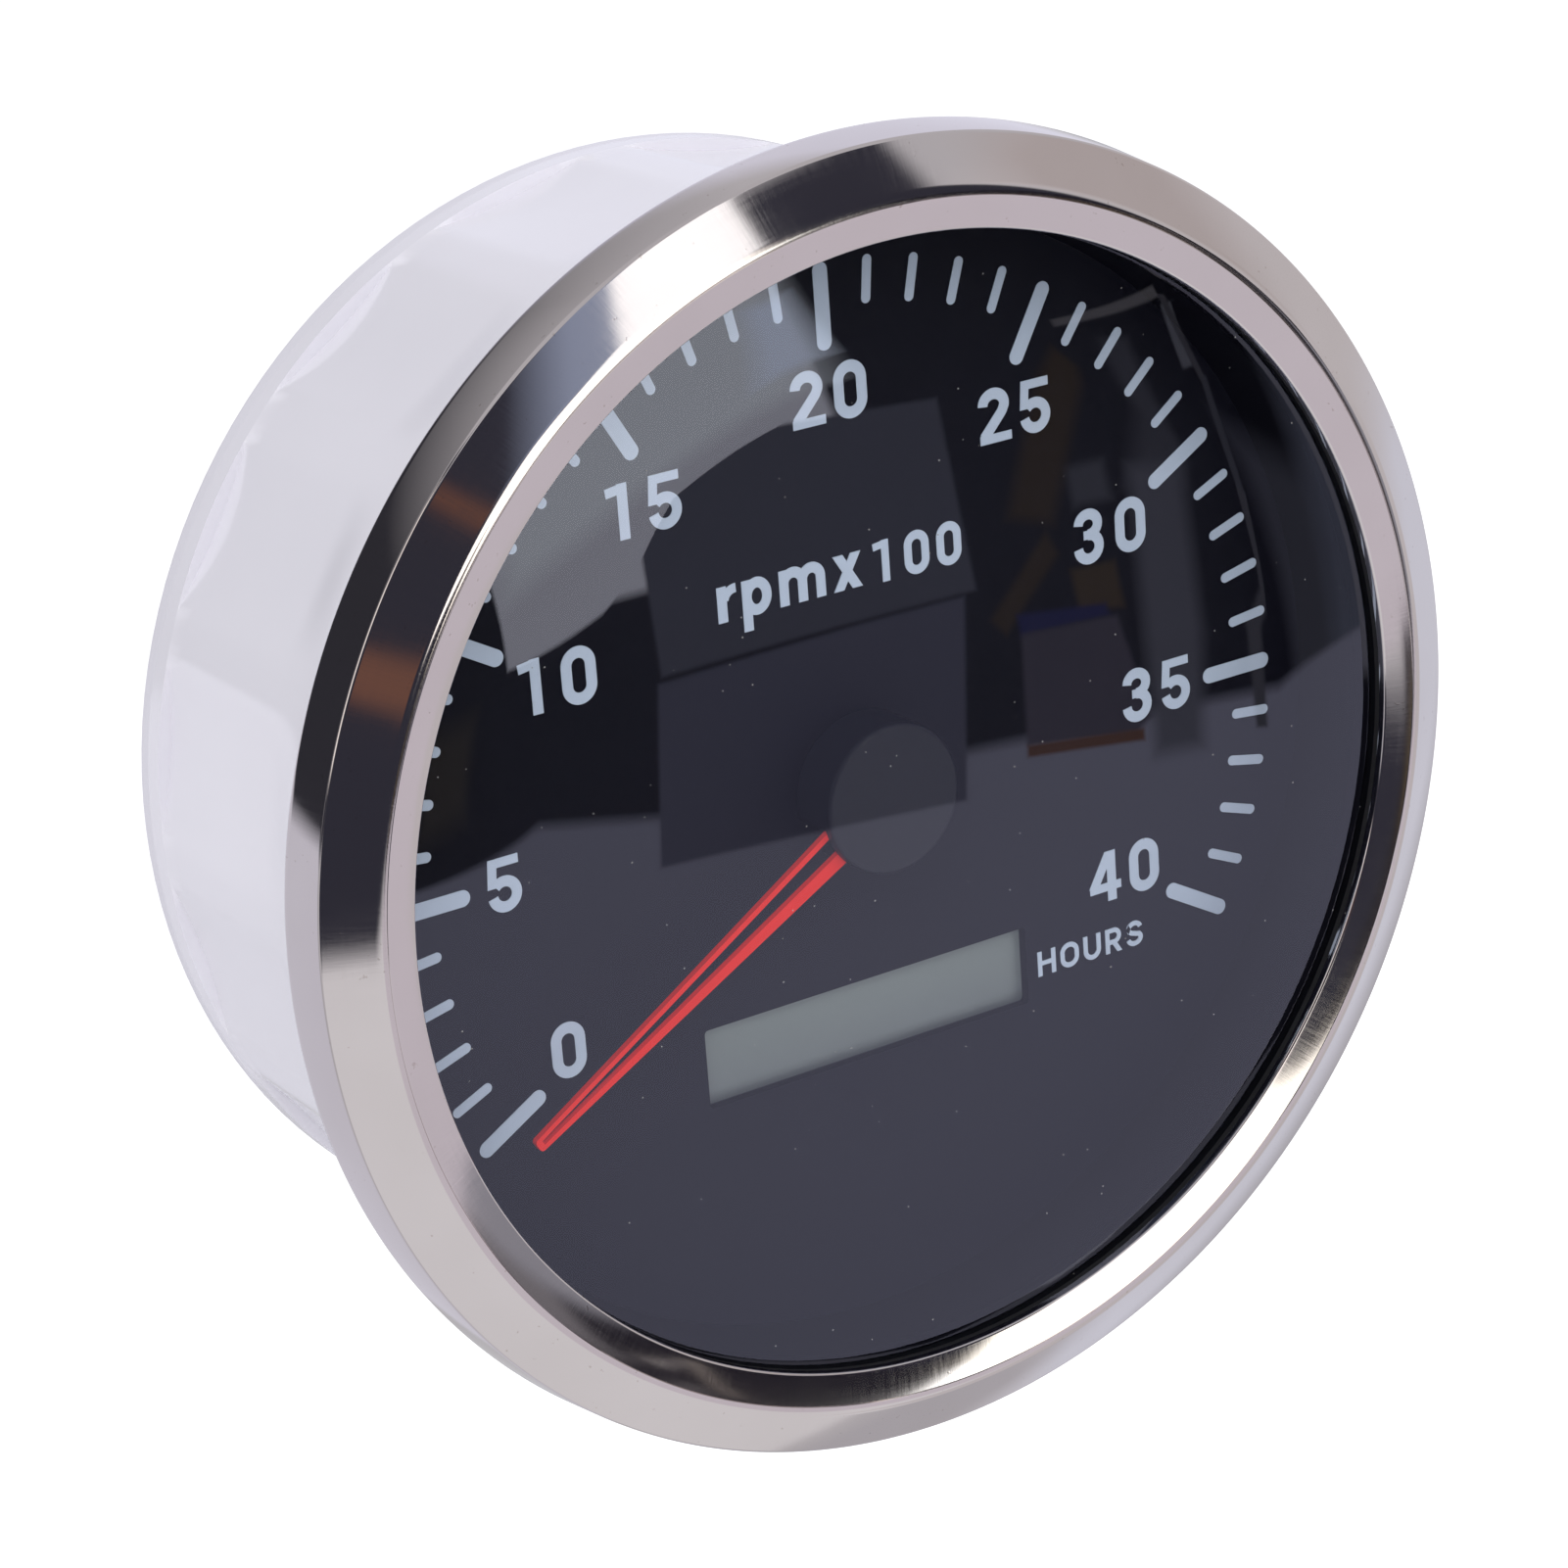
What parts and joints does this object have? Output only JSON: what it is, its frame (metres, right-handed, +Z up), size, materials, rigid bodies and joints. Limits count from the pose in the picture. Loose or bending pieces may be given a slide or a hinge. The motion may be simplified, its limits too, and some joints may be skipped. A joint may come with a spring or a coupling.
{
  "type": "boat tachometer",
  "caption": "Round flush-mount boat tachometer: polished bezel, flat lens, black dial with a red sweeping pointer, an hour counter window and a fluted white case.",
  "frame": {"origin": "on the gauge's axis, at the panel's front face, where the bezel's rear curl seats", "axes": "+Y along the axis towards the back of the gauge, the dial faces -Y, +Z up, +X to the viewer's right"},
  "size_m": [0.095, 0.0522, 0.095],
  "materials": {
    "bezel_steel": "polished stainless",
    "gasket_rubber": "black moulded rubber",
    "lens_glass": "clear, flat",
    "spacer_black": "gloss black",
    "dial_black": "satin black",
    "mark_print": "light blue-grey print",
    "guide_clear": "clear acrylic",
    "frame_white": "white moulding",
    "holder_black": "black moulding",
    "lcd_glass": "grey-green display",
    "strip_rubber": "pink silicone strip",
    "board_green": "green solder mask",
    "led_yellow": "phosphor lens",
    "chip_black": "black epoxy",
    "can_metal": "drawn can",
    "screw_steel": "zinc plated",
    "socket_black": "black moulding",
    "pin_gold": "plated pins",
    "case_white": "white moulding",
    "cover_white": "white moulding",
    "stud_steel": "stainless",
    "shell_white": "natural moulding",
    "stator_steel": "soft iron sheet",
    "bobbin_black": "black moulding",
    "coil_copper": "enamelled copper wire",
    "gear_white": "acetal",
    "magnet_dark": "sintered ferrite",
    "shaft_steel": "ground steel",
    "pointer_red": "red moulding",
    "cap_black": "satin black"
  },
  "bodies": {
    "gauge": {"bezel": "bezel_steel", "lens_gasket": "gasket_rubber", "lens": "lens_glass", "spacer_ring": "spacer_black", "dial": "dial_black", "scale_marks": "mark_print", "light_guide": "guide_clear", "inner_frame": "frame_white", "lcd_holder": "holder_black", "lcd_panel": "lcd_glass", "lcd_contact_strips": "strip_rubber", "circuit_board": "board_green", "backlight_leds": "led_yellow", "microcontroller": "chip_black", "voltage_regulator": "chip_black", "capacitor": "can_metal", "board_screws": "screw_steel", "connector_shell": "socket_black", "connector_pins": "pin_gold", "case": "case_white", "rear_cover": "cover_white", "cover_screws": "screw_steel", "mounting_studs": "stud_steel", "movement_front_shell": "shell_white", "movement_rear_shell": "shell_white", "movement_pins": "pin_gold", "stator_plate": "stator_steel", "stator_yoke": "stator_steel", "left_bobbin": "bobbin_black", "right_bobbin": "bobbin_black", "left_coil": "coil_copper", "right_coil": "coil_copper"},
    "pointer": {"output_wheel": "gear_white", "pointer_shaft": "shaft_steel", "pointer_blade": "pointer_red", "pointer_cap": "cap_black"},
    "middle_gear": {"middle_wheel": "gear_white"},
    "rotor": {"rotor_pinion": "gear_white", "rotor_magnet": "magnet_dark"}
  },
  "joints": [
    {"name": "pointer_turn", "type": "hinge", "parent": "gauge", "child": "pointer", "pos_m": [0, 0, 0], "axis": [0, 1, 0], "range_deg": [0, 240]},
    {"name": "middle_gear_turn", "type": "hinge", "parent": "gauge", "child": "middle_gear", "pos_m": [0.00369, 0, 0.00639], "axis": [0, 1, 0], "range_deg": [-1728, 0]},
    {"name": "rotor_turn", "type": "hinge", "parent": "gauge", "child": "rotor", "pos_m": [0, 0, 0.0115], "axis": [0, 1, 0], "range_deg": [0, 10368]}
  ],
  "couplings": [
    {"joint": "middle_gear_turn", "follows": "pointer_turn", "ratio": -7.2},
    {"joint": "rotor_turn", "follows": "pointer_turn", "ratio": 43.2}
  ]
}
